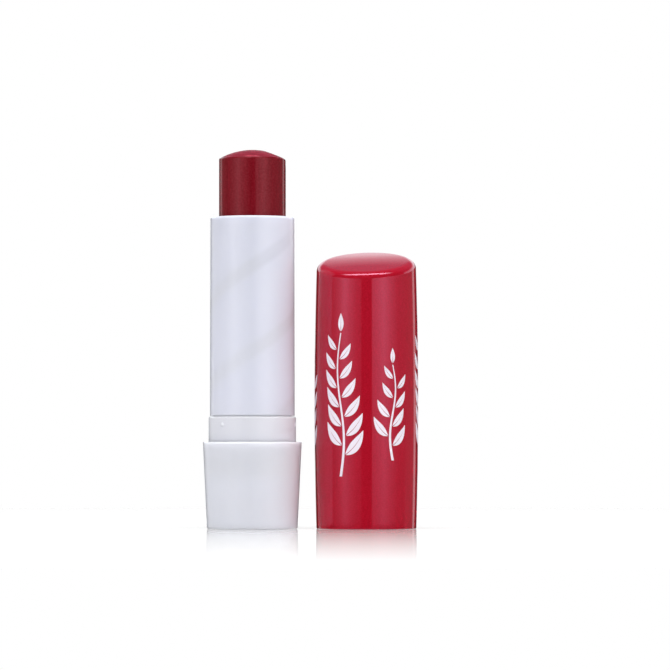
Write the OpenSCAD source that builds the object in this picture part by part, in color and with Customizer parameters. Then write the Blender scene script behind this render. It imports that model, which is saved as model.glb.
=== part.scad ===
// Twist-up lip balm stick, wound part of the way up, with its cap taken off and standing beside it.
// Lengths are in millimetres. The stick stands on z = 0 with its axis through the origin, +Z is up
// and -Y is the front. Turning the twist base against the barrel winds the balm up and down.

/* [Balm] */
// Diameter of the balm
balm_d = 12.7; // [11:0.1:14]
// Length of balm that stands out of the barrel, with its domed tip
balm_out = 12.8; // [4:0.2:20]
// Height of the domed tip
balm_dome = 1.7; // [0.8:0.1:3]
// Depth of the tip under the mouth of the barrel when the balm is wound right down
balm_park = 1.2; // [0.6:0.1:3]

/* [Carrier cup] */
// Height of the cup that holds the balm
cup_height = 10; // [7:0.5:13]
// Wall of the cup
cup_wall = 0.4; // [0.3:0.05:0.8]
// Floor of the cup
cup_floor = 0.9; // [0.6:0.1:1.5]
// Hole in the floor that lets air out when the balm goes in
cup_vent_d = 2; // [1:0.5:4]
// Number of ribs that bite into the balm
cup_rib_count = 6; // [3:1:12]
// Width of each rib
cup_rib_w = 0.6; // [0.4:0.1:1]
// Depth of each rib
cup_rib_depth = 0.35; // [0.2:0.05:0.6]
// Length of the ribs that stops short of the cup's rim
cup_rib_short = 1.5; // [0.5:0.5:4]
// Diameter of the two lugs that the grooves drive
lug_d = 2; // [1.4:0.1:2.4]
// Height of the lugs' axis above the underside of the cup
lug_rise = 1.6; // [1.3:0.1:3]

/* [Guide tube] */
// Wall of the guide tube
guide_wall = 0.45; // [0.35:0.05:0.8]
// Height of the collar that the cap pushes on to
collar_height = 4.85; // [4:0.05:8]
// Step from the barrel out to the collar
collar_step = 0.25; // [0.15:0.05:0.6]
// Rounding of the collar's shoulder
collar_edge_r = 0.4; // [0.2:0.1:0.7]
// Width of the bearing ring that the barrel turns on
neck_w = 0.3; // [0.2:0.05:0.5]
// Open gap between the collar and the barrel
neck_height = 0.1; // [0.1:0.05:0.6]
// Number of snap nubs round the collar
nub_count = 3; // [2:1:6]
// Diameter of each snap nub
nub_d = 0.95; // [0.7:0.05:1.4]
// Height that a nub stands proud of the collar
nub_proud = 0.15; // [0.1:0.01:0.25]
// Distance from the collar's shoulder down to the middle of the nubs
nub_drop = 1.65; // [1.2:0.05:2.4]
// Direction of the first nub
nub_angle = -12; // [-180:1:180]
// Direction of the two slots
slot_angle = -20; // [-180:1:180]
// Height of the bead that holds the barrel on
bead_height = 0.8; // [0.6:0.1:1.2]
// Height that the bead stands proud of the tube
bead_proud = 0.2; // [0.1:0.05:0.3]
// Distance from the end of the barrel up to the middle of the bead
bead_rise = 1.7; // [1.2:0.1:2]
// Depth of the foot that goes down into the twist base
foot_depth = 6; // [4:0.5:8]
// Step from the collar in to the foot
foot_step = 0.15; // [0.1:0.05:0.3]

/* [Barrel] */
// Height of the barrel
barrel_height = 37.75; // [34:0.05:46]
// Wall of the barrel at its lower end
barrel_wall = 0.75; // [0.65:0.05:1.2]
// Narrowing of the barrel's radius from its lower end to its mouth
barrel_taper = 0.075; // [0:0.025:0.15]
// Rounding of the mouth's outer edge
barrel_edge_r = 0.4; // [0.2:0.1:0.6]
// Thickness of the lip that keeps the cup in
lip_height = 0.8; // [0.5:0.1:1.5]
// Bevel round the inner edge of the lip
lip_bevel = 0.2; // [0.1:0.05:0.4]
// Rise of the spiral grooves in one full turn
groove_lead = 32; // [24:1:40]
// Depth of the spiral grooves
groove_depth = 0.36; // [0.25:0.01:0.45]
// Lowest place of the cup's underside, above the end of the barrel
cup_park = 2.8; // [2.6:0.1:4]

/* [Twist base] */
// Height of the twist base
base_height = 16.5; // [12:0.5:24]
// Width of the ledge outside the collar
ledge_w = 1.1; // [0.9:0.05:2]
// Narrowing of the base's radius from its ledge down to its foot
base_taper = 0.8; // [0:0.1:1.2]
// Wall of the base round its hollow
base_wall = 1.1; // [0.8:0.1:1.4]
// Floor of the base
base_floor = 1.4; // [1:0.1:2.5]
// Depth of the hollow under the floor
base_recess = 0.4; // [0.2:0.1:0.8]
// Width of the rim that the base stands on
base_rim_w = 1.3; // [0.8:0.1:2.5]
// Width of the dimple under the floor that the base was moulded through
gate_d = 3; // [2:0.5:5]
// Depth of that dimple
gate_depth = 0.3; // [0.2:0.1:0.6]
// Rounding of the edge at the table
base_foot_r = 0.3; // [0.1:0.1:0.6]
// Rounding of the ledge's outer edge
base_edge_r = 0.15; // [0.05:0.05:0.4]
// Number of keys that stop the guide tube turning in the base
key_count = 4; // [2:1:8]
// Width of each key
key_w = 1.2; // [0.8:0.1:2]
// Depth of each key
key_depth = 0.4; // [0.2:0.05:0.6]

/* [Cap] */
// Wall of the cap at its mouth
cap_wall = 1.05; // [0.8:0.05:1.6]
// Thickness of the cap's top
cap_top_wall = 1.2; // [0.8:0.1:2]
// Bulge of the cap's radius between its mouth and its widest place
cap_bulge = 0.325; // [0.1:0.025:0.6]
// Height of the cap's widest place as a share of its whole height
cap_belly_share = 0.47; // [0.4:0.01:0.55]
// Room above the barrel inside the closed cap, on the axis
cap_headroom = 6.8; // [5:0.1:12]
// Slope of the cap's top
cap_tilt = 14.8; // [5:0.1:20]
// Direction that the top slopes down to
cap_tilt_angle = -97.5; // [-180:0.5:180]
// Rise of the top's shallow dome
cap_dome = 0.24; // [0.1:0.02:0.8]
// Rounding round the edge of the top
cap_edge_r = 1.7; // [0.8:0.1:2.2]
// Narrowing of the bore's radius from the mouth to the top
cap_bore_taper = 0.2; // [0:0.05:0.25]
// Bevel at the mouth's inner edge
cap_mouth_bevel = 0.3; // [0.1:0.05:0.5]
// Rounding of the mouth's outer edge
cap_mouth_edge_r = 0.2; // [0.1:0.05:0.25]
// Depth of the ring groove that the nubs click into
cap_snap_depth = 0.15; // [0.1:0.01:0.3]
// Open space between the cap and the base where they stand side by side
cap_gap = 2.435; // [1:0.005:20]

/* [Clearances] */
// Cup in the guide tube
slide_clearance = 0.05; // [0.03:0.01:0.09]
// Barrel on the guide tube
turn_clearance = 0.05; // [0.03:0.01:0.09]
// Lug in its slot, each side
slot_clearance = 0.05; // [0.03:0.01:0.1]
// Lug in its groove, each side
lug_clearance = 0.12; // [0.08:0.01:0.2]
// Lug's tip above the bottom of its groove
lug_tip_clearance = 0.08; // [0.06:0.01:0.12]
// Balm in the mouth of the barrel
balm_clearance = 0.15; // [0.1:0.01:0.3]
// Ends that slide or turn past each other
end_clearance = 0.15; // [0.1:0.01:0.25]
// Foot of the guide tube in its socket
foot_clearance = 0.02; // [0.01:0.01:0.05]
// Keys in their notches, each side
key_clearance = 0.03; // [0.02:0.01:0.1]
// Cap on the collar
cap_clearance = 0.15; // [0.1:0.01:0.3]

/* [Hidden] */
$fn = 96;

// Length by which a cut runs past the face it opens
overrun = 0.5;
// How far the rounding of the cap's edge starts outside the wall, so that the two cross cleanly
edge_start = 0.02;
// Flat steps in each quarter turn of a small rounding
round_steps = 5;
// Flat steps along the bulge of the cap
bulge_steps = 24;
// Steps of one full turn of a groove
groove_steps = 36;
// Steps round the cap's top, across its rounded edge and across its dome
rim_steps = 96;
edge_steps = 8;
dome_steps = 4;

// Radii, from the balm outwards: each piece runs on the one inside it
balm_r = balm_d / 2;
cup_r = balm_r + cup_wall;
guide_bore_r = cup_r + slide_clearance;
guide_r = guide_bore_r + guide_wall;
bead_r = guide_r + bead_proud;
neck_r = guide_r + neck_w;
barrel_bore_r = guide_r + turn_clearance;
groove_r = barrel_bore_r + groove_depth;
lug_tip_r = groove_r - lug_tip_clearance;
lip_bore_r = balm_r + balm_clearance;
barrel_r = barrel_bore_r + barrel_wall;
barrel_mouth_r = barrel_r - barrel_taper;
collar_r = barrel_r + collar_step;
foot_r = collar_r - foot_step;
socket_r = foot_r + foot_clearance;
base_r = collar_r + ledge_w;
base_foot_radius = base_r - base_taper;
pocket_r = base_foot_radius - base_wall;
cap_bore_r = collar_r + cap_clearance;
cap_mouth_r = cap_bore_r + cap_wall;
cap_belly_r = cap_mouth_r + cap_bulge;

// Heights, from the table up
collar_top = base_height + collar_height;
barrel_end = collar_top + neck_height;
barrel_mouth = barrel_end + barrel_height;
lip_under = barrel_mouth - lip_height;
guide_top = lip_under - end_clearance;
bead_z = barrel_end + bead_rise;
foot_z = base_height - foot_depth;
socket_z = foot_z - end_clearance;
nub_z = collar_top - nub_drop;

// The cup and its travel: down until the tip is parked in the barrel, up until the cup meets the lip
cup_low_z = barrel_end + cup_park;
travel_down = balm_out + balm_park;
cup_z = cup_low_z + travel_down;
cup_rim = cup_z + cup_height;
travel_up = lip_under - 2 * end_clearance - cup_rim;
lug_z = cup_z + lug_rise;
balm_tip = barrel_mouth + balm_out;
balm_foot = cup_z + cup_floor;

// The spiral grooves: they run in through the end of the barrel and stop just past the lug's highest place
groove_w = lug_d + 2 * lug_clearance;
groove_angle = atan(groove_lead / (2 * PI * barrel_bore_r));
groove_h = groove_w / cos(groove_angle);
lug_half_angle = asin((lug_d / 2 + lug_clearance) / barrel_bore_r);
groove_end = travel_up / groove_lead * 360 + lug_half_angle;
groove_start = -(lug_z - barrel_end + groove_h) / groove_lead * 360;
groove_count = ceil((groove_end - groove_start) / 360 * groove_steps);

// Sizes of the cap, which stands on its mouth
cap_ceiling = collar_height + neck_height + barrel_height + cap_headroom;
cap_height = cap_ceiling + cap_top_wall / cos(cap_tilt);
cap_belly_z = cap_height * cap_belly_share;
cap_bulge_r = (cap_belly_z * cap_belly_z + cap_bulge * cap_bulge) / (2 * cap_bulge);
cap_snap_z = collar_height - nub_drop;
cap_x = base_r + cap_belly_r + cap_gap;

// The dome of the tip and the snap nubs are parts of spheres
function sphere_r(half_width, rise) = (half_width * half_width + rise * rise) / (2 * rise);
dome_r = sphere_r(balm_r, balm_dome);
nub_r = sphere_r(nub_d / 2, nub_proud);

// Points of a round corner of an outline, about a centre, from one angle to another
function corner(centre, radius, from, to) =
    [for (i = [0 : round_steps])
        let (a = from + (to - from) * i / round_steps)
        centre + radius * [cos(a), sin(a)]];

// Radius of the base's tapered outside at a height
function base_side_r(z) = base_foot_radius + base_taper * z / base_height;

// Radius of the cap's bulged outside at a height
function cap_side_r(z) =
    cap_belly_r - cap_bulge_r + sqrt(cap_bulge_r * cap_bulge_r - (z - cap_belly_z) * (z - cap_belly_z));

// The cap's top: a shallow dome on a slope, with a rounded edge that meets the wall
cap_rim_r = cap_side_r(cap_height);
function fall(a) = tan(cap_tilt) * cos(a - cap_tilt_angle);
function top_z(r, a) = cap_height - r * fall(a) + cap_dome * (1 - (r / cap_rim_r) * (r / cap_rim_r));
function top_angle(a) = atan(-fall(a) - 2 * cap_dome / cap_rim_r);
function edge_r(a) = cap_side_r(top_z(cap_rim_r, a) - cap_edge_r) - cap_edge_r + edge_start;
function edge_z(a) = top_z(edge_r(a), a) - cap_edge_r / cos(top_angle(a));
function edge_point(a, i) =
    let (turn = (90 + top_angle(a)) * i / edge_steps)
    [edge_r(a) + cap_edge_r * cos(turn), edge_z(a) + cap_edge_r * sin(turn)];
function dome_point(a, i) =
    let (r = edge_point(a, edge_steps)[0] * (1 - i / dome_steps))
    [r, top_z(r, a)];
// Each ring of the top's outer form, as a radius and a height at an angle
function rim_point(a, ring) =
    ring == 0 ? [cap_belly_r + overrun, -overrun] :
    ring == 1 ? [cap_belly_r + overrun, edge_z(a)] :
    ring < 3 + edge_steps ? edge_point(a, ring - 2) :
    dome_point(a, ring - 2 - edge_steps);
rim_rings = 2 + edge_steps + dome_steps;

module revolve(points) {
    rotate_extrude()
        polygon(points);
}

// Everything below the cap's slanted top
module cap_top_form() {
    function round_at(a, p) = [p[0] * cos(a), p[0] * sin(a), p[1]];
    points = concat(
        [for (ring = [0 : rim_rings - 1], k = [0 : rim_steps - 1])
            let (a = k * 360 / rim_steps)
            round_at(a, rim_point(a, ring))],
        [[0, 0, -overrun], [0, 0, top_z(0, 0)]]);
    low = rim_rings * rim_steps;
    function at(ring, k) = ring * rim_steps + k % rim_steps;
    faces = concat(
        [for (ring = [0 : rim_rings - 2], k = [0 : rim_steps - 1])
            [at(ring, k), at(ring + 1, k), at(ring + 1, k + 1)]],
        [for (ring = [0 : rim_rings - 2], k = [0 : rim_steps - 1])
            [at(ring, k), at(ring + 1, k + 1), at(ring, k + 1)]],
        [for (k = [0 : rim_steps - 1]) [at(0, k), at(0, k + 1), low]],
        [for (k = [0 : rim_steps - 1]) [at(rim_rings - 1, k + 1), at(rim_rings - 1, k), low + 1]]);
    polyhedron(points, faces);
}

// The hollow of the cap, up to a ceiling that slopes as the top does
module cap_hollow() {
    top_r = cap_bore_r - cap_bore_taper;
    snap_low = cap_snap_z - nub_d / 2 - cap_snap_depth;
    snap_high = cap_snap_z + nub_d / 2 + cap_snap_depth;
    block = 2 * cap_height;
    intersection() {
        revolve([
            [0, -overrun],
            [cap_bore_r + cap_mouth_bevel, -overrun],
            [cap_bore_r + cap_mouth_bevel, 0],
            [cap_bore_r, cap_mouth_bevel],
            [cap_bore_r, snap_low],
            [cap_bore_r + cap_snap_depth, snap_low + cap_snap_depth],
            [cap_bore_r + cap_snap_depth, snap_high - cap_snap_depth],
            [cap_bore_r, snap_high],
            [top_r, cap_height],
            [top_r, block],
            [0, block]]);
        translate([0, 0, cap_ceiling])
            rotate([0, 0, cap_tilt_angle])
                rotate([0, cap_tilt, 0])
                    translate([-block / 2, -block / 2, -block])
                        cube([block, block, block]);
    }
}

module cap() {
    side_top = cap_height + 2 * cap_belly_r * tan(cap_tilt) + cap_dome;
    color("#a41426")
    translate([cap_x, 0, 0])
    difference() {
        intersection() {
            revolve(concat(
                [[0, 0]],
                corner([cap_side_r(cap_mouth_edge_r) - cap_mouth_edge_r, cap_mouth_edge_r],
                    cap_mouth_edge_r, -90, 0),
                [for (i = [1 : bulge_steps])
                    let (z = side_top * i / bulge_steps)
                    [cap_side_r(z), z]],
                [[0, side_top]]));
            cap_top_form();
        }
        cap_hollow();
    }
}

// A shape of the cup's inner ribs, which also leaves their marks in the balm
module cup_ribs(height) {
    for (i = [0 : cup_rib_count - 1])
        rotate([0, 0, slot_angle + (i + 0.5) * 360 / cup_rib_count])
            translate([balm_r - cup_rib_depth, -cup_rib_w / 2, 0])
                cube([cup_rib_depth + cup_wall / 2, cup_rib_w, height]);
}

module balm() {
    rib_height = cup_height - cup_floor - cup_rib_short;
    color("#7d1b28")
    difference() {
        intersection() {
            translate([0, 0, balm_foot])
                cylinder(r = balm_r, h = balm_tip - balm_foot + overrun);
            union() {
                translate([0, 0, balm_tip - dome_r])
                    sphere(r = dome_r);
                translate([0, 0, balm_foot])
                    cylinder(r = dome_r, h = balm_tip - dome_r - balm_foot);
            }
        }
        translate([0, 0, balm_foot])
            cup_ribs(rib_height);
    }
}

// Both lugs, cut to the round of the groove's bottom
module lugs() {
    intersection() {
        rotate([0, 0, slot_angle])
            translate([-guide_r - overrun, 0, lug_z])
                rotate([0, 90, 0])
                    cylinder(d = lug_d, h = 2 * (guide_r + overrun));
        translate([0, 0, lug_z - lug_d])
            difference() {
                cylinder(r = lug_tip_r, h = 2 * lug_d);
                translate([0, 0, -overrun])
                    cylinder(r = balm_r + cup_wall / 2, h = 2 * lug_d + 2 * overrun);
            }
    }
}

module carrier_cup() {
    rib_height = cup_height - cup_floor - cup_rib_short;
    color("#eceef4")
    union() {
        translate([0, 0, cup_z])
            revolve([
                [cup_vent_d / 2, 0],
                [cup_r, 0],
                [cup_r, cup_height],
                [balm_r, cup_height],
                [balm_r, cup_floor],
                [cup_vent_d / 2, cup_floor]]);
        translate([0, 0, balm_foot])
            cup_ribs(rib_height);
        lugs();
    }
}

// One cutter goes right through and opens both slots, which stay open at the top, where the cup goes in
module guide_slots() {
    slot_w = lug_d + 2 * slot_clearance;
    slot_bottom = lug_z - travel_down;
    rotate([0, 0, slot_angle]) {
        translate([-guide_r - overrun, 0, slot_bottom])
            rotate([0, 90, 0])
                cylinder(d = slot_w, h = 2 * (guide_r + overrun));
        translate([-guide_r - overrun, -slot_w / 2, slot_bottom])
            cube([2 * (guide_r + overrun), slot_w, guide_top - slot_bottom + overrun]);
    }
}

module guide_tube() {
    bead_slope = bead_proud;
    bearing_top = barrel_end - turn_clearance;
    notch_w = key_w + 2 * key_clearance;
    color("#e6e7ef")
    difference() {
        union() {
            revolve(concat(
                [[guide_bore_r, foot_z],
                 [foot_r, foot_z],
                 [foot_r, base_height],
                 [collar_r, base_height]],
                corner([collar_r - collar_edge_r, collar_top - collar_edge_r], collar_edge_r, 0, 90),
                [[neck_r, collar_top],
                 [neck_r, bearing_top],
                 [guide_r, bearing_top],
                 [guide_r, bead_z - bead_height / 2],
                 [bead_r, bead_z - bead_height / 2 + bead_slope],
                 [bead_r, bead_z + bead_height / 2 - bead_slope],
                 [guide_r, bead_z + bead_height / 2],
                 [guide_r, guide_top],
                 [guide_bore_r, guide_top]]));
            for (i = [0 : nub_count - 1])
                rotate([0, 0, nub_angle + i * 360 / nub_count])
                    translate([collar_r + nub_proud - nub_r, 0, nub_z])
                        sphere(r = nub_r);
        }
        guide_slots();
        // Notches in the foot that fit over the keys of the base
        for (i = [0 : key_count - 1])
            rotate([0, 0, i * 360 / key_count])
                translate([socket_r - key_depth - key_clearance, -notch_w / 2, foot_z - overrun])
                    cube([key_depth + overrun, notch_w, foot_depth + overrun]);
    }
}

// One spiral groove, swept as a chain of slanted blocks whose middle passes the lug at rest
module groove() {
    bore_side = barrel_bore_r - overrun;
    function angle_at(i) = groove_start + (groove_end - groove_start) * i / groove_count;
    function ring_at(a) =
        let (z = lug_z + a * groove_lead / 360)
        [for (p = [[bore_side, -1], [groove_r, -1], [groove_r, 1], [bore_side, 1]])
            [p[0] * cos(a), p[0] * sin(a), z + p[1] * groove_h / 2]];
    points = [for (i = [0 : groove_count], p = ring_at(angle_at(i))) p];
    last = 4 * groove_count;
    faces = concat(
        [[2, 1, 0], [3, 2, 0]],
        [for (i = [0 : groove_count - 1], k = [0 : 3])
            [4 * i + 4 + (k + 1) % 4, 4 * i + 4 + k, 4 * i + k]],
        [for (i = [0 : groove_count - 1], k = [0 : 3])
            [4 * i + (k + 1) % 4, 4 * i + 4 + (k + 1) % 4, 4 * i + k]],
        [[last, last + 1, last + 2], [last, last + 2, last + 3]]);
    polyhedron(points, faces);
}

module barrel() {
    recess_r = bead_r + turn_clearance;
    recess_half = bead_height / 2 + end_clearance;
    recess_slope = recess_r - barrel_bore_r;
    color("#dcdde7")
    difference() {
        revolve(concat(
            [[barrel_bore_r, barrel_end],
             [barrel_r, barrel_end]],
            corner([barrel_mouth_r - barrel_edge_r, barrel_mouth - barrel_edge_r], barrel_edge_r, 0, 90),
            [[lip_bore_r + lip_bevel, barrel_mouth],
             [lip_bore_r, barrel_mouth - lip_bevel],
             [lip_bore_r, lip_under],
             [barrel_bore_r, lip_under],
             [barrel_bore_r, bead_z + recess_half],
             [recess_r, bead_z + recess_half - recess_slope],
             [recess_r, bead_z - recess_half + recess_slope],
             [barrel_bore_r, bead_z - recess_half]]));
        for (side = [0, 180])
            rotate([0, 0, slot_angle + side])
                groove();
    }
}

module twist_base() {
    key_h = foot_depth + end_clearance + overrun - key_clearance;
    color("#dddee7")
    union() {
        revolve(concat(
            [[0, base_recess + gate_depth],
             [gate_d / 2 - gate_depth, base_recess + gate_depth],
             [gate_d / 2, base_recess],
             [base_foot_radius - base_rim_w - base_recess, base_recess],
             [base_foot_radius - base_rim_w, 0]],
            corner([base_side_r(base_foot_r) - base_foot_r, base_foot_r], base_foot_r, -90, 0),
            corner([base_side_r(base_height - base_edge_r) - base_edge_r, base_height - base_edge_r],
                base_edge_r, 0, 90),
            [[socket_r, base_height],
             [socket_r, socket_z],
             [pocket_r, socket_z],
             [pocket_r, base_floor + base_recess],
             [0, base_floor + base_recess]]));
        for (i = [0 : key_count - 1])
            rotate([0, 0, i * 360 / key_count])
                translate([socket_r - key_depth, -key_w / 2, socket_z - overrun])
                    cube([key_depth + foot_step, key_w, key_h]);
    }
}

twist_base();
guide_tube();
barrel();
carrier_cup();
balm();
cap();
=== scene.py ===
"""Looks of a twist-up lip balm stick that stands beside its cap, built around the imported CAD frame."""

import math

import bmesh
import bpy
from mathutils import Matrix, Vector


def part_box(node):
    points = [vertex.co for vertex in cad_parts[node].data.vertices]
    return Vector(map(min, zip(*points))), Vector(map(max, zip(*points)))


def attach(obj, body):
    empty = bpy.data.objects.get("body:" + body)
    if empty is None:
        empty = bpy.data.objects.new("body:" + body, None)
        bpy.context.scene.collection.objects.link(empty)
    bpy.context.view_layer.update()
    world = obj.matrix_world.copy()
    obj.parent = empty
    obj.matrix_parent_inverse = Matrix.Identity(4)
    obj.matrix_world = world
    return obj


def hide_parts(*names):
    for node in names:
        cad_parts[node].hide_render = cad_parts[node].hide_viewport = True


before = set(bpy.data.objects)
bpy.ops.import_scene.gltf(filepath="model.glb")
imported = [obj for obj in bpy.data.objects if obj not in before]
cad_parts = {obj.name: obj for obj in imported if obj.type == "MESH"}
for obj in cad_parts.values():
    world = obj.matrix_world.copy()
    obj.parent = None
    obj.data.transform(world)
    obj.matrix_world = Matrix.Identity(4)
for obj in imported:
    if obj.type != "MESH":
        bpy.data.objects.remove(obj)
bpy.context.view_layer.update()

# Camera
# A long lens level with the lower part of the stick, 855 mm away, as in the photograph. Its picture is
# 670 pixels wide, 0.19 mm a pixel at the stick, and it looks up a little to have both feet low in view.

MM = 0.001
PICTURE = 670
PIXEL = 0.19 * MM
SENSOR = 36.0
FAR = 0.855
EYE_HEIGHT = 0.0165
AIM = Vector((0.0157, 0.0, 0.0368))

camera_data = bpy.data.cameras.new("camera")
camera_data.sensor_width = SENSOR
camera_data.lens = SENSOR * FAR / (PICTURE * PIXEL)
camera = bpy.data.objects.new("camera", camera_data)
bpy.context.scene.collection.objects.link(camera)
camera.location = (AIM.x, -FAR, EYE_HEIGHT)
camera.rotation_mode = "QUATERNION"
camera.rotation_quaternion = (AIM - camera.location).to_track_quat("-Z", "Y")
bpy.context.scene.camera = camera
bpy.context.scene.view_settings.view_transform = "Standard"

# Studio
# A tent of plain soft light, with a large lamp overhead. Glossy surfaces see its walls as what they are:
# two low diffusers beside the lens with a dark gap between them, dark cards before a white backdrop, which
# draw the dark outline of each piece, and a strip light over the stick.

def add(tree, kind, sockets=(), **settings):
    """Adds a shader node, sets its properties, and fills or links its input sockets."""
    made = tree.nodes.new("ShaderNode" + kind)
    for name, value in settings.items():
        setattr(made, name, value)
    for socket, value in dict(sockets).items():
        if isinstance(value, bpy.types.NodeSocket):
            tree.links.new(value, made.inputs[socket])
        else:
            made.inputs[socket].default_value = value
    return made


def grey(level):
    """A light level or a tone as a colour."""
    return (level, level, level, 1.0)


def fill_ramp(ramp, stops):
    """Gives a Color Ramp its stops, each a place from 0 to 1 and a light level, grey or with a tint."""
    elements = ramp.color_ramp.elements
    while len(elements) < len(stops):
        elements.new(1.0)
    for element, (place, level, *tint) in zip(elements, stops):
        element.position = place
        element.color = [level / PICTURE_LEVEL * share for share in (tint or (1.0, 1.0, 1.0))] + [1.0]


# A ramp holds levels up to 1, so they are divided by this and given back as strength
PICTURE_LEVEL = 3.0
# Degrees round from the lens, to the right when above 0, and how bright the tent is there
TENT_STOPS = [(-180, 0.75), (-110, 0.67), (-60, 0.73), (-28, 0.73), (-10, 0.49), (10, 0.45), (22, 0.47),
    (34, 0.66), (72, 0.86), (90, 0.64), (128, 0.66), (142, 1.45), (165, 1.45), (180, 0.75)]
# Degrees round from the lens, to the right when above 0, and the light from there at eye level
ROUND_STOPS = [(-180, 1.0), (-173, 1.0), (-170, 0.03), (-145, 0.03), (-142, 1.0), (-133, 1.0), (-130, 0.25),
    (-97, 0.22), (-87, 0.31), (-72, 0.72), (-61, 1.2), (-54, 1.8), (-46, 1.8), (-41, 1.4), (-32, 1.03),
    (-23, 0.6), (-12.2, 0.45), (-11.6, 0.04), (11.6, 0.04), (12.2, 1.0), (19, 1.28), (40, 2.1),
    (57, 1.18), (75, 0.48), (97, 0.36), (130, 0.2), (133, 1.1), (142, 1.1), (145, 0.03), (170, 0.03),
    (173, 1.0), (180, 1.0)]
# Degrees up from eye level behind the stick, the light from the backdrop there, and its tint
BACK_STOPS = [(0, 1.58, 0.8, 1.0, 1.06), (20, 1.58, 0.8, 1.0, 1.06), (24, 1.38, 0.84, 1.0, 1.06),
    (26, 0.68, 1.0, 0.97, 1.1), (29.5, 0.17, 1.1, 1.0, 1.45), (90, 0.17, 1.1, 1.0, 1.45)]
# Degrees up: the diffusers grow brighter from below eye level, by this gain, and end above it
DIFFUSER_RISE = (-8, 6)
DIFFUSER_GAIN = (0.28, 1.24)
DIFFUSER_TOP = (14, 19)
# Degrees round to where the backdrop starts, and up and down to the ends of the cards and of the table
BACKDROP_EDGE = (95, 100)
CARD_TOP = (11, 13)
TABLE_EDGE = (-10, -16)
ABOVE_LEVEL = 0.05
TABLE_LEVEL = 0.85
# The strip light on a plane overhead at height 1: its place front to back, half its depth, its ends
STRIP_PLACE = -0.287
STRIP_HALF = (0.13, 0.2)
STRIP_ENDS = (0.3, 0.85)
STRIP_LEVEL = 13.0
STRIP_LOWEST = 0.2

world = bpy.data.worlds.new("studio")
world.use_nodes = True
bpy.context.scene.world = world
tree = world.node_tree
tree.nodes.clear()
ray = add(tree, "TexCoord").outputs["Generated"]
split = add(tree, "SeparateXYZ", {0: ray})
front = add(tree, "Math", {0: split.outputs["Y"], 1: -1.0}, operation="MULTIPLY").outputs[0]
turn = add(tree, "Math", {0: split.outputs["X"], 1: front}, operation="ARCTAN2").outputs[0]
round_share = add(tree, "MapRange", {0: turn, 1: -math.pi, 2: math.pi}).outputs[0]
turn = add(tree, "Math", {0: turn}, operation="ABSOLUTE").outputs[0]
turn_share = add(tree, "Math", {0: turn, 1: math.pi}, operation="DIVIDE").outputs[0]
rise = add(tree, "Math", {0: split.outputs["Z"]}, operation="ARCSINE").outputs[0]
rise_share = add(tree, "Math", {0: rise, 1: math.pi / 2}, operation="DIVIDE").outputs[0]
round_ramp = add(tree, "ValToRGB", {0: round_share})
fill_ramp(round_ramp, [(degrees / 360 + 0.5, level) for degrees, level in ROUND_STOPS])
back_ramp = add(tree, "ValToRGB", {0: rise_share})
fill_ramp(back_ramp, [(degrees / 90, *light) for degrees, *light in BACK_STOPS])
behind = add(tree, "MapRange", {0: turn_share, 1: BACKDROP_EDGE[0] / 180, 2: BACKDROP_EDGE[1] / 180})
gain = add(tree, "MapRange", {0: rise_share, 1: DIFFUSER_RISE[0] / 90, 2: DIFFUSER_RISE[1] / 90,
    3: DIFFUSER_GAIN[0], 4: DIFFUSER_GAIN[1]})
gain = add(tree, "Mix", {0: behind.outputs[0], 2: gain.outputs[0], 3: 1.0})
bands = add(tree, "VectorMath", {0: round_ramp.outputs[0], 3: gain.outputs[0]}, operation="SCALE")
above = add(tree, "MapRange", {0: rise_share, 1: DIFFUSER_TOP[0] / 90, 2: DIFFUSER_TOP[1] / 90})
walls = add(tree, "Mix", {0: above.outputs[0], 6: bands.outputs[0], 7: grey(ABOVE_LEVEL / PICTURE_LEVEL)},
    data_type="RGBA")
above_cards = add(tree, "MapRange", {0: rise_share, 1: CARD_TOP[0] / 90, 2: CARD_TOP[1] / 90})
use_back = add(tree, "Math", {0: behind.outputs[0], 1: above_cards.outputs[0]}, operation="MULTIPLY")
room = add(tree, "Mix", {0: use_back.outputs[0], 6: walls.outputs[2], 7: back_ramp.outputs[0]},
    data_type="RGBA")
low = add(tree, "MapRange", {0: rise_share, 1: TABLE_EDGE[0] / 90, 2: TABLE_EDGE[1] / 90})
picture = add(tree, "Mix", {0: low.outputs[0], 6: room.outputs[2], 7: grey(TABLE_LEVEL / PICTURE_LEVEL)},
    data_type="RGBA")
high = add(tree, "Math", {0: split.outputs["Z"], 1: STRIP_LOWEST}, operation="MAXIMUM")
along = add(tree, "Math", {0: split.outputs["X"], 1: high.outputs[0]}, operation="DIVIDE")
along = add(tree, "Math", {0: along.outputs[0]}, operation="ABSOLUTE")
depth = add(tree, "Math", {0: split.outputs["Y"], 1: high.outputs[0]}, operation="DIVIDE")
depth = add(tree, "Math", {0: depth.outputs[0], 1: STRIP_PLACE}, operation="SUBTRACT")
depth = add(tree, "Math", {0: depth.outputs[0]}, operation="ABSOLUTE")
in_length = add(tree, "MapRange", {0: along.outputs[0], 1: STRIP_ENDS[0], 2: STRIP_ENDS[1], 3: 1.0, 4: 0.0},
    interpolation_type="SMOOTHSTEP")
in_depth = add(tree, "MapRange", {0: depth.outputs[0], 1: STRIP_HALF[0], 2: STRIP_HALF[1], 3: STRIP_LEVEL,
    4: 0.0})
strip = add(tree, "Math", {0: in_length.outputs[0], 1: in_depth.outputs[0]}, operation="MULTIPLY")
room_light = add(tree, "Background", {"Color": picture.outputs[2], "Strength": PICTURE_LEVEL})
strip_light = add(tree, "Background", {"Color": grey(1.0), "Strength": strip.outputs[0]})
mirrored = add(tree, "AddShader", {0: room_light.outputs[0], 1: strip_light.outputs[0]})
tent_ramp = add(tree, "ValToRGB", {0: round_share})
fill_ramp(tent_ramp, [(degrees / 360 + 0.5, level) for degrees, level in TENT_STOPS])
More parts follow.
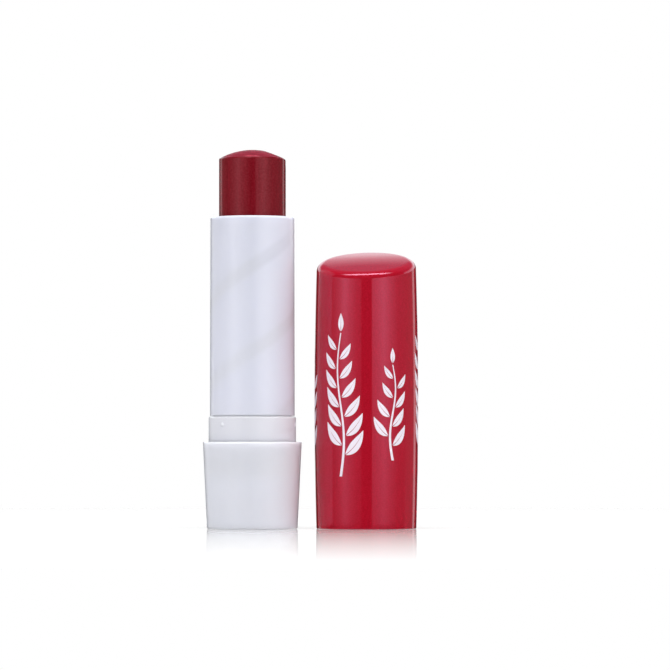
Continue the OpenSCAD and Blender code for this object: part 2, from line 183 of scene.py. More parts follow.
tent = add(tree, "Background", {"Color": tent_ramp.outputs[0], "Strength": PICTURE_LEVEL})
white = add(tree, "Background", {"Color": grey(1.0), "Strength": 1.0})
path = add(tree, "LightPath")
lit = add(tree, "MixShader", {0: path.outputs["Is Glossy Ray"], 1: tent.outputs[0], 2: mirrored.outputs[0]})
shown = add(tree, "MixShader", {0: path.outputs["Is Camera Ray"], 1: lit.outputs[0], 2: white.outputs[0]})
add(tree, "OutputWorld", {0: shown.outputs[0]})


def soft_lamp(name, place, side, power):
    """A square soft lamp that shines at the middle of the picture and isn't mirrored in the pieces."""
    data = bpy.data.lights.new(name, "AREA")
    data.size = side
    data.energy = power
    made = bpy.data.objects.new(name, data)
    bpy.context.scene.collection.objects.link(made)
    made.visible_glossy = False
    made.location = place
    made.rotation_mode = "QUATERNION"
    made.rotation_quaternion = (AIM - made.location).to_track_quat("-Z", "Y")
    return made


# The lamp overhead: its distance, and its degrees up from behind, so that it hangs a little in front
LAMP_REACH = 1.2
LAMP_RISE = math.radians(102)
LAMP_SIDE = 0.6
LAMP_POWER = 14.6
# A faint lamp at the right, for the white pieces alone, makes up for the red that the cap throws on them:
# in the photograph neither the stick nor the cap takes colour from the other
FILL_PLACE = (0.5, 0.07, 0.02)
FILL_SIDE = 0.2
FILL_POWER = 0.56

soft_lamp("top_lamp", AIM + Vector((0.0, math.cos(LAMP_RISE), math.sin(LAMP_RISE))) * LAMP_REACH,
    LAMP_SIDE, LAMP_POWER)
side_fill = soft_lamp("side_fill", FILL_PLACE, FILL_SIDE, FILL_POWER)
white_pieces = bpy.data.collections.new("white_pieces")
for node in ("twist_base", "guide_tube", "barrel"):
    white_pieces.objects.link(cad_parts[node])
side_fill.light_linking.receiver_collection = white_pieces
side_fill.light_linking.blocker_collection = white_pieces

# Floor
# A white acrylic sheet, cast and polished. It mirrors the pieces near their feet, and turns matt within a
# hand's breadth, so that the mirror image fades out as in the photograph.

FLOOR_R = 0.27
FLOOR_SIDES = 128
SHEEN_REACH = 0.26
SHEEN = 0.9
# Its white as the camera sees it, and as it lights the pieces
FLOOR_TONE = 0.665
FLOOR_BOUNCE = 0.85
FLOOR_IOR = 1.45
FLOOR_ROUGHNESS = 0.03


def bare_material(name):
    """A new material with an empty node tree."""
    made = bpy.data.materials.new(name)
    made.use_nodes = True
    made.node_tree.nodes.clear()
    return made, made.node_tree


floor_mesh = bpy.data.meshes.new("floor")
shape = bmesh.new()
bmesh.ops.create_circle(shape, cap_ends=True, segments=FLOOR_SIDES, radius=FLOOR_R)
shape.to_mesh(floor_mesh)
shape.free()
floor = bpy.data.objects.new("floor", floor_mesh)
bpy.context.scene.collection.objects.link(floor)
floor.location = (AIM.x, 0.0, 0.0)
floor.visible_glossy = False

# Acrylic: a plain milky white under a clear mirror that is strongest along the sheet
acrylic, tree = bare_material("white_acrylic_floor")
place = add(tree, "TexCoord").outputs["Object"]
reach = add(tree, "VectorMath", {0: place}, operation="LENGTH").outputs["Value"]
fade = add(tree, "MapRange", {0: reach, 1: 0.0, 2: SHEEN_REACH, 3: SHEEN, 4: 0.0})
fresnel = add(tree, "Fresnel", {"IOR": FLOOR_IOR})
mirror_share = add(tree, "Math", {0: fade.outputs[0], 1: fresnel.outputs[0]}, operation="MULTIPLY")
path = add(tree, "LightPath")
tone = add(tree, "Mix", {0: path.outputs["Is Camera Ray"], 6: grey(FLOOR_BOUNCE), 7: grey(FLOOR_TONE)},
    data_type="RGBA")
matt = add(tree, "BsdfDiffuse", {"Color": tone.outputs[2]})
mirror = add(tree, "BsdfGlossy", {"Color": grey(1.0), "Roughness": FLOOR_ROUGHNESS})
sheet = add(tree, "MixShader", {0: mirror_share.outputs[0], 1: matt.outputs[0], 2: mirror.outputs[0]})
add(tree, "OutputMaterial", {0: sheet.outputs[0]})
floor_mesh.materials.append(acrylic)

# Twist base
# The tapered foot that the fingers turn. White polypropylene, injection moulded in one shot through a
# gate under its floor, so its outside is smooth and has no seam.

POLYPROPYLENE_IOR = 1.49
# Clouds of slightly different white where the melt cooled, and the fine peel of a polished mould
CLOUD = 7 * MM
PEEL = 0.5 * MM
PEEL_DEPTH = 0.004 * MM
GLOSS_SPREAD = 0.04
# Light goes this far into a thick milky wall, and this share of it does
SCATTER = 3 * MM
SCATTER_SHARE = 0.8


def srgb(code):
    """An sRGB hex colour as linear red, green, blue and alpha."""
    channels = [int(code[i:i + 2], 16) / 255 for i in (1, 3, 5)]
    return tuple(c / 12.92 if c <= 0.04045 else ((c + 0.055) / 1.055) ** 2.4 for c in channels) + (1.0,)


def moulded_polypropylene(name, pale, deep, roughness, scatter):
    """White polypropylene: even and milky, softly glossy, with a faint orange peel in the highlights."""
    made, tree = bare_material(name)
    place = add(tree, "TexCoord").outputs["Object"]
    cloud = add(tree, "TexNoise", {"Vector": place, "Scale": 1 / CLOUD, "Detail": 2.0})
    tone = add(tree, "Mix", {0: cloud.outputs[0], 6: srgb(pale), 7: srgb(deep)}, data_type="RGBA")
    peel = add(tree, "TexNoise", {"Vector": place, "Scale": 1 / PEEL, "Detail": 3.0})
    gloss = add(tree, "MapRange", {0: peel.outputs[0], 3: roughness - GLOSS_SPREAD,
        4: roughness + GLOSS_SPREAD})
    skin = add(tree, "Bump", {"Height": peel.outputs[0], "Distance": PEEL_DEPTH})
    shader = add(tree, "BsdfPrincipled", {"Base Color": tone.outputs[2], "Roughness": gloss.outputs[0],
        "IOR": POLYPROPYLENE_IOR, "Normal": skin.outputs[0], "Subsurface Weight": SCATTER_SHARE,
        "Subsurface Radius": (1.0, 1.0, 1.0), "Subsurface Scale": scatter})
    add(tree, "OutputMaterial", {0: shader.outputs[0]})
    return made, tree, shader


def dress(node, material):
    """Gives a CAD node its one material."""
    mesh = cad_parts[node].data
    mesh.materials.clear()
    mesh.materials.append(material)


base_look = moulded_polypropylene("white_polypropylene_base", "#dbdde7", "#d6d8e2", 0.17, SCATTER)[0]
dress("twist_base", base_look)

# Guide tube
# The collar under the barrel is the visible end of the guide tube, one moulding with its three snap nubs.
# The same polypropylene as the base, a trace duller, keyed into the base by its foot.

guide_look = moulded_polypropylene("white_polypropylene_guide", "#dcdde6", "#d8d9e2", 0.23, SCATTER)[0]
dress("guide_tube", guide_look)

# Barrel
# The long sleeve that snaps over the guide tube and turns on it. Polypropylene too, in a wall so thin that
# the two spiral grooves on its inside show through as faint grey bands: partly real light scattered through
# the thin wall, partly painted shade in its colour.

BARREL_SCATTER = 1 * MM
GROOVE_LEAD = 32 * MM
# Half width of a band where it starts to fade and where it ends
GROOVE_BAND = (0.7 * MM, 2.1 * MM)
# A band faces the front at this height, turned by this angle, and runs out at the top
GROOVE_PLACE = 39.85 * MM
GROOVE_TURN = math.radians(-20)
GROOVE_TOP = (54 * MM, 58 * MM)
# The painted shade of the bands is fainter on the left and low down, and in patches
FAINT_ACROSS = (-5 * MM, 2 * MM)
FAINTEST_LEFT = 0.12
FAINT_UP = (38 * MM, 48 * MM)
STRENGTH_UP = (0.45, 0.9)
PATCH = 7 * MM
FAINTEST_PATCH = 0.5
# Noise seldom leaves this range
NOISE_RANGE = (0.35, 0.65)

barrel_look, tree, shader = moulded_polypropylene("thin_polypropylene_barrel", "#d8dae7", "#d5d7e4", 0.16,
    BARREL_SCATTER)
place = add(tree, "TexCoord").outputs["Object"]
split = add(tree, "SeparateXYZ", {0: place})
turn = add(tree, "Math", {0: split.outputs["Y"], 1: split.outputs["X"]}, operation="ARCTAN2")
turns = add(tree, "Math", {0: turn.outputs[0], 1: -1 / math.pi, 2: GROOVE_TURN / math.pi},
    operation="MULTIPLY_ADD")
climb = add(tree, "Math", {0: split.outputs["Z"], 1: 2 / GROOVE_LEAD, 2: -2 * GROOVE_PLACE / GROOVE_LEAD},
    operation="MULTIPLY_ADD")
phase = add(tree, "Math", {0: turns.outputs[0], 1: climb.outputs[0]}, operation="ADD")
off_band = add(tree, "Math", {0: phase.outputs[0], 1: 0.5}, operation="PINGPONG")
off_band = add(tree, "Math", {0: off_band.outputs[0], 1: GROOVE_LEAD / 2}, operation="MULTIPLY")
band = add(tree, "MapRange", {0: off_band.outputs[0], 1: GROOVE_BAND[0], 2: GROOVE_BAND[1], 3: 1.0, 4: 0.0},
    interpolation_type="SMOOTHSTEP")
runs_out = add(tree, "MapRange", {0: split.outputs["Z"], 1: GROOVE_TOP[0], 2: GROOVE_TOP[1], 3: 1.0, 4: 0.0})
patches = add(tree, "TexNoise", {"Vector": place, "Scale": 1 / PATCH, "Detail": 1.0})
in_patches = add(tree, "MapRange", {0: patches.outputs[0], 1: NOISE_RANGE[0], 2: NOISE_RANGE[1],
    3: FAINTEST_PATCH, 4: 1.0})
across = add(tree, "MapRange", {0: split.outputs["X"], 1: FAINT_ACROSS[0], 2: FAINT_ACROSS[1],
    3: FAINTEST_LEFT, 4: 1.0})
upward = add(tree, "MapRange", {0: split.outputs["Z"], 1: FAINT_UP[0], 2: FAINT_UP[1], 3: STRENGTH_UP[0],
    4: STRENGTH_UP[1]})
shade = band
for share in (across, upward, runs_out, in_patches):
    shade = add(tree, "Math", {0: shade.outputs[0], 1: share.outputs[0]}, operation="MULTIPLY")
tone = shader.inputs["Base Color"].links[0].from_socket
# Painted shade: the base colour turns greyer over the grooves, for the shade seen through the thin wall
painted_groove_shade = add(tree, "Mix", {0: shade.outputs[0], 6: tone, 7: srgb("#ccceda")}, data_type="RGBA")
tree.links.new(painted_groove_shade.outputs[2], shader.inputs["Base Color"])
dress("barrel", barrel_look)

# Carrier cup
# The small cup that lifts the balm, hidden in the barrel. Natural polypropylene with no pigment, milky and
# a little duller, as it comes from an unpolished mould.

cup_look = moulded_polypropylene("natural_polypropylene_cup", "#e4e6ea", "#dfe2e8", 0.42, SCATTER)[0]
dress("carrier_cup", cup_look)

# Balm
# The tinted wax bullet. It is cast in place: a shallow domed tip with a small round edge, a soft gloss on
# its side and a duller tip, one flat spot on the right of the dome, and a few marks from handling.

BALM_R = 6.35 * MM
BALM_DOME = 1.7 * MM
BALM_EDGE = 0.28 * MM
# The flat spot starts this far right of the axis, this far under the tip, and falls by this slope
FLAT_START = 2.05 * MM
FLAT_DROP = 0.17 * MM
FLAT_SLOPE = 0.395
FLAT_BLEND = 0.012 * MM
# The cup's ribs press six grooves into the foot of the balm
RIB_COUNT = 6
RIB_W = 0.6 * MM
RIB_DEPTH = 0.35 * MM
RIB_HEIGHT = 7.6 * MM
RIB_TURN = math.radians(10)
# Marks: angle in degrees, then in mm depth below the tip, half width, half height, depth of the dent
MARKS = [(-2, 2.15, 0.5, 0.55, 0.2), (-95, 6.4, 0.3, 0.07, 0.02), (-81, 4.0, 0.25, 0.06, 0.02),
    (-105, 9.6, 0.2, 0.08, 0.015), (-70, 7.3, 0.35, 0.05, 0.015), (150, 3.4, 0.6, 0.4, 0.05),
    (95, 8.0, 0.5, 0.08, 0.02), (40, 5.2, 0.2, 0.3, 0.02)]
# A hair's breadth, for the slope of a top and for a sharp step
HAIR = 0.01 * MM
# How finely balm and cap are divided
STEPS_ROUND = 240
BALM_STEPS_TOP = 40
BALM_STEPS_EDGE = 6
BALM_STEPS_SIDE = 110
SHARP_ANGLE = math.radians(35)

balm_low, balm_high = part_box("balm")
balm_dome_r = (BALM_R ** 2 + BALM_DOME ** 2) / (2 * BALM_DOME)
rib_top = balm_low.z + RIB_HEIGHT
shoulder = balm_high.z - BALM_DOME


def smooth_but_sharp(mesh):
    """Smooth shading with the corners left sharp."""
    mesh.polygons.foreach_set("use_smooth", [True] * len(mesh.polygons))
    mesh.set_sharp_from_angle(angle=SHARP_ANGLE)


def lathe(name, section):
    """A closed mesh round Z. section(angle) gives (radius, height) points, on the axis at both ends."""
    shape = bmesh.new()
    rings = []
    ends = []
    for k in range(STEPS_ROUND):
        angle = 2 * math.pi * k / STEPS_ROUND
        points = section(angle)
        if not ends:
            ends = [shape.verts.new((0.0, 0.0, points[0][1])), shape.verts.new((0.0, 0.0, points[-1][1]))]
        rings.append([shape.verts.new((r * math.cos(angle), r * math.sin(angle), z))
            for r, z in points[1:-1]])
    for k in range(STEPS_ROUND):
        here, there = rings[k], rings[(k + 1) % STEPS_ROUND]
        shape.faces.new((ends[0], here[0], there[0]))
        for i in range(len(here) - 1):
            shape.faces.new((here[i], here[i + 1], there[i + 1], there[i]))
        shape.faces.new((here[-1], ends[1], there[-1]))
    bmesh.ops.recalc_face_normals(shape, faces=shape.faces)
    mesh = bpy.data.meshes.new(name)
    shape.to_mesh(mesh)
    shape.free()
    smooth_but_sharp(mesh)
    made = bpy.data.objects.new(name, mesh)
    bpy.context.scene.collection.objects.link(made)
    return made


def over_edge(side_r, edge_r, top, steps):
    """Points from a sloping top over a round edge to the wall. top(radius) is the top's height there."""
    centre_r = side_r - edge_r
    slope = math.atan((top(centre_r + HAIR) - top(centre_r - HAIR)) / (2 * HAIR))
    centre_z = top(centre_r) - edge_r / math.cos(slope)
    turns = [(math.pi / 2 + slope) * (1 - i / steps) for i in range(steps + 1)]
    return [(centre_r + edge_r * math.cos(t), centre_z + edge_r * math.sin(t)) for t in turns]


def spaced(start, end, count):
    """Evenly spaced values after start, up to and with end."""
    return [start + (end - start) * (i + 1) / count for i in range(count)]


def balm_top(angle, radius):
    """Height of the tip: a dome, with its flat spot blended in."""
    dome = balm_high.z - balm_dome_r + math.sqrt(balm_dome_r ** 2 - radius ** 2)
    flat = balm_high.z - FLAT_DROP - (radius * math.cos(angle) - FLAT_START) * FLAT_SLOPE
    gap = (dome - flat) / FLAT_BLEND
    return dome - FLAT_BLEND * (math.log1p(math.exp(-abs(gap))) + max(gap, 0.0))


def dented(angle, radius, z):
    """A radius of the side, less the marks and the grooves of the cup's ribs."""
    depth = balm_high.z - z
    for degrees, down, half_w, half_h, dent in MARKS:
        apart = (angle - math.radians(degrees) + math.pi) % (2 * math.pi) - math.pi
        across = apart * BALM_R / (half_w * MM)
        along = (depth - down * MM) / (half_h * MM)
        radius -= dent * MM * math.exp(-across ** 2 - along ** 2)
    to_rib = (angle - RIB_TURN) % (2 * math.pi / RIB_COUNT)
    to_rib = min(to_rib, 2 * math.pi / RIB_COUNT - to_rib)
    if z < rib_top and to_rib * BALM_R < RIB_W / 2:
        radius = BALM_R - RIB_DEPTH
    return radius


def balm_section(angle):
    """The balm's outline at an angle, from the tip over its edge and down to its foot."""
    edge = over_edge(BALM_R, BALM_EDGE, lambda r: balm_top(angle, r), BALM_STEPS_EDGE)
    top = [(r, balm_top(angle, r)) for r in [0.0] + spaced(0.0, edge[0][0], BALM_STEPS_TOP)[:-1]]
    side = [(BALM_R, z) for z in spaced(edge[-1][1], rib_top, BALM_STEPS_SIDE)]
    side += [(BALM_R, rib_top - HAIR), (BALM_R, balm_low.z)]
    wall = [(dented(angle, r, z), z) for r, z in edge + side]
    return top + wall + [(0.0, balm_low.z)]


bullet = lathe("balm_bullet", balm_section)

WAX_IOR = 1.44
WAX_SPECULAR = 0.38
# Pigment in the skin of the wax colours its reflections
WAX_SHEEN = (1.0, 0.5, 0.56, 1.0)
SIDE_GLOSS = (0.06, 0.16)
TIP_GLOSS = 0.5
# The duller tip starts just below the shoulder
TIP_BLEND = (shoulder - 0.05 * MM, shoulder + 0.3 * MM)
# Upright streaks from the mould, clouds of bloom on the tip, and the grain of the wax with pale specks
STREAK = (0.5 * MM, 0.5 * MM, 9 * MM)
BLOOM = 2.5 * MM
GRAIN = 0.35 * MM
SPECKS = (0.4, 0.65)
SPECK_SHARE = 0.09
RELIEF_DEPTH = 0.014 * MM
# A painted highlight just above the shoulder, in front, where the strip light catches the round edge: its
# place, its half lengths, and how the grain breaks it up
PAINTED_HIGHLIGHT_PLACE = (0.1 * MM, -5.8 * MM, shoulder + 0.2 * MM)
PAINTED_HIGHLIGHT_SIZE = (1.7 * MM, 1.2 * MM, 0.13 * MM)
PAINTED_HIGHLIGHT_EDGE = (0.5, 1.0)
PAINTED_HIGHLIGHT_GRAIN = (0.4, 0.55)
PAINTED_HIGHLIGHT_FAINTEST = 0.3

# Tinted wax: deep red and waxy, with soft upright streaks in its gloss and a matt bloom on its tip
wax, tree = bare_material("tinted_cast_wax")
place = add(tree, "TexCoord").outputs["Object"]
height = add(tree, "SeparateXYZ", {0: place}).outputs["Z"]
streaked = add(tree, "VectorMath", {0: place, 1: STREAK}, operation="DIVIDE")
streaks = add(tree, "TexNoise", {"Vector": streaked.outputs[0], "Scale": 1.0, "Detail": 3.0})
bloom = add(tree, "TexNoise", {"Vector": place, "Scale": 1 / BLOOM, "Detail": 4.0})
grain = add(tree, "TexNoise", {"Vector": place, "Scale": 1 / GRAIN, "Detail": 3.0})
tip = add(tree, "MapRange", {0: height, 1: TIP_BLEND[0], 2: TIP_BLEND[1]})
body_tone = add(tree, "Mix", {0: streaks.outputs[0], 6: srgb("#7a0e1d"), 7: srgb("#620711")},
    data_type="RGBA")
speck = add(tree, "MapRange", {0: grain.outputs[0], 1: SPECKS[0], 2: SPECKS[1], 3: 0.0, 4: SPECK_SHARE})
body_tone = add(tree, "Mix", {0: speck.outputs[0], 6: body_tone.outputs[2], 7: srgb("#b4464f")},
    data_type="RGBA")
tip_tone = add(tree, "Mix", {0: bloom.outputs[0], 6: srgb("#731222"), 7: srgb("#7e1a2b")}, data_type="RGBA")
# Painted highlight: a lighter pink streak on the front of the tip's edge, broken up by the grain
painted_highlight = add(tree, "VectorMath", {0: place, 1: PAINTED_HIGHLIGHT_PLACE}, operation="SUBTRACT")
painted_highlight = add(tree, "VectorMath", {0: painted_highlight.outputs[0], 1: PAINTED_HIGHLIGHT_SIZE}, operation="DIVIDE")
painted_highlight = add(tree, "VectorMath", {0: painted_highlight.outputs[0]}, operation="LENGTH")
painted_highlight = add(tree, "MapRange", {0: painted_highlight.outputs["Value"], 1: PAINTED_HIGHLIGHT_EDGE[0], 2: PAINTED_HIGHLIGHT_EDGE[1], 3: 1.0, 4: 0.0},
    interpolation_type="SMOOTHSTEP")
highlight_grain = add(tree, "MapRange", {0: grain.outputs[0], 1: PAINTED_HIGHLIGHT_GRAIN[0], 2: PAINTED_HIGHLIGHT_GRAIN[1], 3: PAINTED_HIGHLIGHT_FAINTEST,
    4: 1.0})
painted_highlight = add(tree, "Math", {0: painted_highlight.outputs[0], 1: highlight_grain.outputs[0]}, operation="MULTIPLY")
tip_tone = add(tree, "Mix", {0: painted_highlight.outputs[0], 6: tip_tone.outputs[2], 7: srgb("#d9586c")},
    data_type="RGBA")
wax_tone = add(tree, "Mix", {0: tip.outputs[0], 6: body_tone.outputs[2], 7: tip_tone.outputs[2]},
    data_type="RGBA")
side_gloss = add(tree, "MapRange", {0: streaks.outputs[0], 3: SIDE_GLOSS[0], 4: SIDE_GLOSS[1]})
gloss = add(tree, "Mix", {0: tip.outputs[0], 2: side_gloss.outputs[0], 3: TIP_GLOSS})
relief = add(tree, "Math", {0: grain.outputs[0], 1: streaks.outputs[0]}, operation="ADD")
skin = add(tree, "Bump", {"Height": relief.outputs[0], "Distance": RELIEF_DEPTH})
shader = add(tree, "BsdfPrincipled", {"Base Color": wax_tone.outputs[2], "Roughness": gloss.outputs[0],
    "IOR": WAX_IOR, "Specular IOR Level": WAX_SPECULAR, "Specular Tint": WAX_SHEEN,
    "Normal": skin.outputs[0]})
add(tree, "OutputMaterial", {0: shader.outputs[0]})
bullet.data.materials.append(wax)
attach(bullet, "carrier")
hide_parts("balm")

# Cap
# The pull-off cap, standing on its mouth. Red polypropylene from a mirror-polished mould, the glossiest
# piece here: its side bulges a little, and its slanted top is a shallow dome with a round edge.

CAP_BORE = 8.45 * MM
CAP_WALL = 1.05 * MM
CAP_BULGE = 0.325 * MM
CAP_CEILING = 49.5 * MM
CAP_TOP_WALL = 1.2 * MM
CAP_BELLY_SHARE = 0.47
CAP_TILT = math.radians(14.8)
CAP_TILT_TURN = math.radians(-97.5)
CAP_DOME = 0.24 * MM
CAP_EDGE = 1.7 * MM
CAP_MOUTH_EDGE = 0.2 * MM
CAP_MOUTH_BEVEL = 0.3 * MM
CAP_BORE_TAPER = 0.2 * MM
CAP_INNER_EDGE = 0.5 * MM
SNAP_LOW = 2.575 * MM
SNAP_HIGH = 3.825 * MM
SNAP_DEPTH = 0.15 * MM
CAP_STEPS_TOP = 16
CAP_STEPS_EDGE = 20
CAP_STEPS_SIDE = 48
CAP_STEPS_SMALL_EDGE = 5
CAP_STEPS_BORE = 6

cap_low, cap_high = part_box("cap")
cap_height = CAP_CEILING + CAP_TOP_WALL / math.cos(CAP_TILT)
cap_belly_r = CAP_BORE + CAP_WALL + CAP_BULGE
cap_belly_z = cap_height * CAP_BELLY_SHARE
cap_bulge_r = (cap_belly_z ** 2 + CAP_BULGE ** 2) / (2 * CAP_BULGE)


def cap_side_r(z):
    """Radius of the bulged outside at a height."""
    return cap_belly_r - cap_bulge_r + math.sqrt(cap_bulge_r ** 2 - (z - cap_belly_z) ** 2)


cap_rim_r = cap_side_r(cap_height)


def cap_fall(angle):
    """How steeply the slanted top falls at an angle."""
    return math.tan(CAP_TILT) * math.cos(angle - CAP_TILT_TURN)


def cap_top_z(angle, radius):
    """Height of the slanted dome."""
    return cap_height - radius * cap_fall(angle) + CAP_DOME * (1 - (radius / cap_rim_r) ** 2)


def cap_section(angle):
    """The cap's outline at an angle: over the top, down the side, round the mouth and up inside."""
    side_r = cap_side_r(cap_top_z(angle, cap_rim_r) - CAP_EDGE)
    edge = over_edge(side_r, CAP_EDGE, lambda r: cap_top_z(angle, r), CAP_STEPS_EDGE)
    top = [(r, cap_top_z(angle, r)) for r in [0.0] + spaced(0.0, edge[0][0], CAP_STEPS_TOP)[:-1]]
    side = [(cap_side_r(z), z) for z in spaced(edge[-1][1], CAP_MOUTH_EDGE, CAP_STEPS_SIDE)]
    foot_r = side[-1][0] - CAP_MOUTH_EDGE
    foot = [(foot_r + CAP_MOUTH_EDGE * math.cos(t), CAP_MOUTH_EDGE * (1 - math.sin(t)))
        for t in spaced(0.0, math.pi / 2, CAP_STEPS_SMALL_EDGE)]
    mouth = [(CAP_BORE + CAP_MOUTH_BEVEL, 0.0), (CAP_BORE, CAP_MOUTH_BEVEL), (CAP_BORE, SNAP_LOW),
        (CAP_BORE + SNAP_DEPTH, SNAP_LOW + SNAP_DEPTH), (CAP_BORE + SNAP_DEPTH, SNAP_HIGH - SNAP_DEPTH),
        (CAP_BORE, SNAP_HIGH)]
    inner_r = CAP_BORE - CAP_BORE_TAPER
    ceiling = over_edge(inner_r, CAP_INNER_EDGE, lambda r: CAP_CEILING - r * cap_fall(angle),
        CAP_STEPS_SMALL_EDGE)[::-1]
    bore = [(inner_r, z) for z in spaced(SNAP_HIGH, ceiling[0][1], CAP_STEPS_BORE)[:-1]]
    return top + edge + side + foot + mouth + bore + ceiling + [(0.0, CAP_CEILING)]


cap = lathe("cap_shell", cap_section)
cap.location = ((cap_low.x + cap_high.x) / 2, 0.0, 0.0)

# Polypropylene with pigment and clarifier reflects a little more than plain, and with a pink tinge
CAP_IOR = 1.56
CAP_SHEEN = (1.0, 0.47, 0.74, 1.0)
# A trace of pearl in the pigment, the peel of the mould, and smudges from fingers in the gloss
PEARL = 0.25 * MM
CAP_PEEL = 0.9 * MM
CAP_PEEL_ROUGHNESS = 0.65
CAP_PEEL_DEPTH = 0.0035 * MM
SMUDGE = 5 * MM
SMUDGE_RANGE = (0.35, 0.7)
CAP_GLOSS = (0.045, 0.085)

# Polished red polypropylene: a deep even red under a clear gloss, which shows the studio in sharp bands
red, tree = bare_material("polished_red_polypropylene")
place = add(tree, "TexCoord").outputs["Object"]
pearl = add(tree, "TexNoise", {"Vector": place, "Scale": 1 / PEARL, "Detail": 3.0})
pearl = add(tree, "MapRange", {0: pearl.outputs[0], 1: NOISE_RANGE[0], 2: NOISE_RANGE[1]})
tone = add(tree, "Mix", {0: pearl.outputs[0], 6: srgb("#a91328"), 7: srgb("#9c0b1e")}, data_type="RGBA")
smudge = add(tree, "TexNoise", {"Vector": place, "Scale": 1 / SMUDGE, "Detail": 4.0})
gloss = add(tree, "MapRange", {0: smudge.outputs[0], 1: SMUDGE_RANGE[0], 2: SMUDGE_RANGE[1],
    3: CAP_GLOSS[0], 4: CAP_GLOSS[1]})
peel = add(tree, "TexNoise", {"Vector": place, "Scale": 1 / CAP_PEEL, "Detail": 4.0,
    "Roughness": CAP_PEEL_ROUGHNESS})
skin = add(tree, "Bump", {"Height": peel.outputs[0], "Distance": CAP_PEEL_DEPTH})
shader = add(tree, "BsdfPrincipled", {"Base Color": tone.outputs[2], "Roughness": gloss.outputs[0],
    "IOR": CAP_IOR, "Specular Tint": CAP_SHEEN, "Normal": skin.outputs[0]})
add(tree, "OutputMaterial", {0: shader.outputs[0]})
cap.data.materials.append(red)
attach(cap, "cap")
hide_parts("cap")

# Print on the cap
# One pass of white ink, screen printed round the side: upright sprigs of leaves, tall and short in turn.
# The film is a few hundredths of a millimetre thick and a little duller than the cap.

INK_TOP = 0.03 * MM
INK_BED = -0.02 * MM
SPRIG_COUNT = 6
SPRIG_TURN = math.radians(-120)
# Foot, height, sideways sway, pairs of leaves, length of the lowest leaf
TALL_SPRIG = (10 * MM, 27 * MM, 0.7 * MM, 6, 6.2 * MM)
SHORT_SPRIG = (13 * MM, 18 * MM, -0.6 * MM, 4, 5.2 * MM)
STEM_STEPS = 40
# Half width of the stem at its foot and at its tip
STEM_HALF = (0.26 * MM, 0.1 * MM)
# Where the leaves start on the stem and how far they reach, as shares of it
FIRST_LEAF = 0.14
LEAF_SPAN = 0.8
# A leaf: its half width as a share of its length, how far out its belly lies, how far it leans and curls
LEAF_STEPS = 14
LEAF_ACROSS = 3
LEAF_HALF = 0.17
LEAF_BELLY = 0.8
LEAF_LEAN = 1.0
LEAF_CURL = 0.35
LEAF_GAP = 0.13 * MM
# Its root beside the stem, how much shorter it gets up the stem, and the share that the tip leaf has
ROOT_OUT = 0.45 * MM
ROOT_UP = 0.3 * MM
LEAF_SHRINK = 0.5
TIP_LEAF = 0.55
WELD = 1e-7


def on_wall(centre, across, z, lift):
    """A point on the cap's side, a way across it from an angle and a height up, lifted off by a little."""
    radius = cap_side_r(z)
    angle = centre + across / radius
    return ((radius + lift) * math.cos(angle), (radius + lift) * math.sin(angle), z)


def film(shape, centre, rows):
    """Adds a closed film of ink from rows of (across, height) points."""
    sides = [[[shape.verts.new(on_wall(centre, across, z, lift)) for across, z in row] for row in rows]
        for lift in (INK_TOP, INK_BED)]
    for side in sides:
        for row, following in zip(side, side[1:]):
            for i in range(len(row) - 1):
                shape.faces.new((row[i], row[i + 1], following[i + 1], following[i]))
    rims = [side[0] + [row[-1] for row in side[1:]] + side[-1][-2::-1] + [row[0] for row in side[-2:0:-1]]
        for side in sides]
    for i in range(len(rims[0])):
        k = (i + 1) % len(rims[0])
        shape.faces.new((rims[0][i], rims[0][k], rims[1][k], rims[1][i]))


def leaf(shape, centre, root, lean, curl, length):
    """A leaf in two halves, with the gap of its midrib left open between them."""
    for hand in (-1, 1):
        rows = []
        for i in range(LEAF_STEPS + 1):
            share = i / LEAF_STEPS
            inner = LEAF_GAP / 2 * (1 - share)
            outer = max(inner, LEAF_HALF * length * math.sin(math.pi * share ** LEAF_BELLY))
            heading = lean - curl * share
            along = length * share
            row = []
            for k in range(LEAF_ACROSS + 1):
                off = hand * (inner + (outer - inner) * k / LEAF_ACROSS)
                row.append((root[0] + along * math.sin(heading) + off * math.cos(heading),
                    root[1] + along * math.cos(heading) - off * math.sin(heading)))
            rows.append(row)
        film(shape, centre, rows)


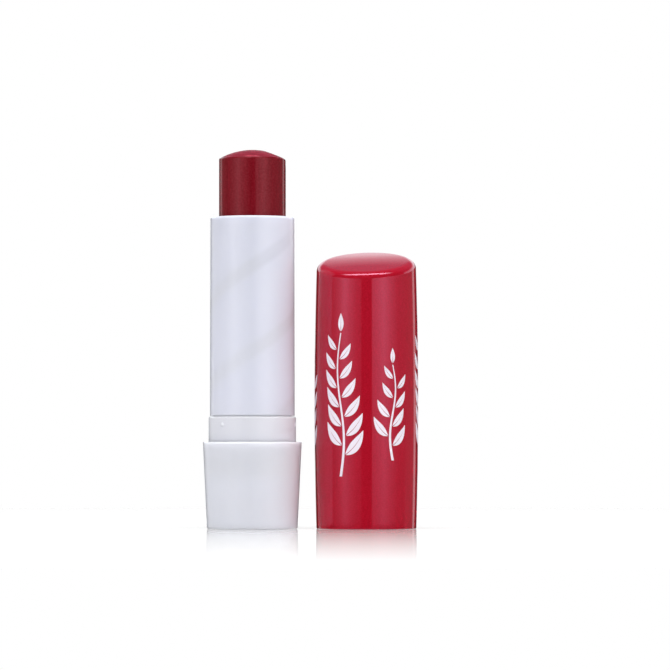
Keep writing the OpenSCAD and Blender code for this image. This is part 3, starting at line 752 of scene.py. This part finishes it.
def sprig(shape, centre, foot, height, sway, pairs, lowest):
    """A swaying stem with leaves right and left by turns, and one on its tip."""
    def on_stem(share):
        return (sway * math.sin(2 * math.pi * share), foot + height * share)

    rows = []
    for i in range(STEM_STEPS + 1):
        share = i / STEM_STEPS
        across, z = on_stem(share)
        half = STEM_HALF[0] + (STEM_HALF[1] - STEM_HALF[0]) * share
        rows.append([(across - half, z), (across, z), (across + half, z)])
    film(shape, centre, rows)
    for i in range(2 * pairs):
        share = FIRST_LEAF + LEAF_SPAN * i / (2 * pairs)
        side = 1 if i % 2 == 0 else -1
        across, z = on_stem(share)
        root = (across + side * ROOT_OUT, z + ROOT_UP)
        leaf(shape, centre, root, side * LEAF_LEAN, side * LEAF_CURL, lowest * (1 - LEAF_SHRINK * share))
    across, z = on_stem(1.0)
    leaf(shape, centre, (across, z + ROOT_UP), 0.0, 0.0, lowest * TIP_LEAF)


print_shape = bmesh.new()
for k in range(SPRIG_COUNT):
    kind = TALL_SPRIG if k % 2 == 0 else SHORT_SPRIG
    sprig(print_shape, SPRIG_TURN + 2 * math.pi * k / SPRIG_COUNT, *kind)
bmesh.ops.remove_doubles(print_shape, verts=print_shape.verts, dist=WELD)
bmesh.ops.dissolve_degenerate(print_shape, edges=print_shape.edges, dist=WELD)
bmesh.ops.recalc_face_normals(print_shape, faces=print_shape.faces)
print_mesh = bpy.data.meshes.new("cap_print")
print_shape.to_mesh(print_mesh)
print_shape.free()
smooth_but_sharp(print_mesh)
cap_print = bpy.data.objects.new("cap_print", print_mesh)
bpy.context.scene.collection.objects.link(cap_print)
cap_print.location = cap.location

INK_GRAIN = 0.3 * MM
INK_GLOSS = (0.26, 0.38)

# White screen ink: an even, slightly pink white with a satin face and a fine grain from the screen
ink, tree = bare_material("white_screen_ink")
place = add(tree, "TexCoord").outputs["Object"]
grain = add(tree, "TexNoise", {"Vector": place, "Scale": 1 / INK_GRAIN, "Detail": 2.0})
tone = add(tree, "Mix", {0: grain.outputs[0], 6: srgb("#ebe4ee"), 7: srgb("#e4dce8")}, data_type="RGBA")
gloss = add(tree, "MapRange", {0: grain.outputs[0], 3: INK_GLOSS[0], 4: INK_GLOSS[1]})
shader = add(tree, "BsdfPrincipled", {"Base Color": tone.outputs[2], "Roughness": gloss.outputs[0]})
add(tree, "OutputMaterial", {0: shader.outputs[0]})
print_mesh.materials.append(ink)
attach(cap_print, "cap")
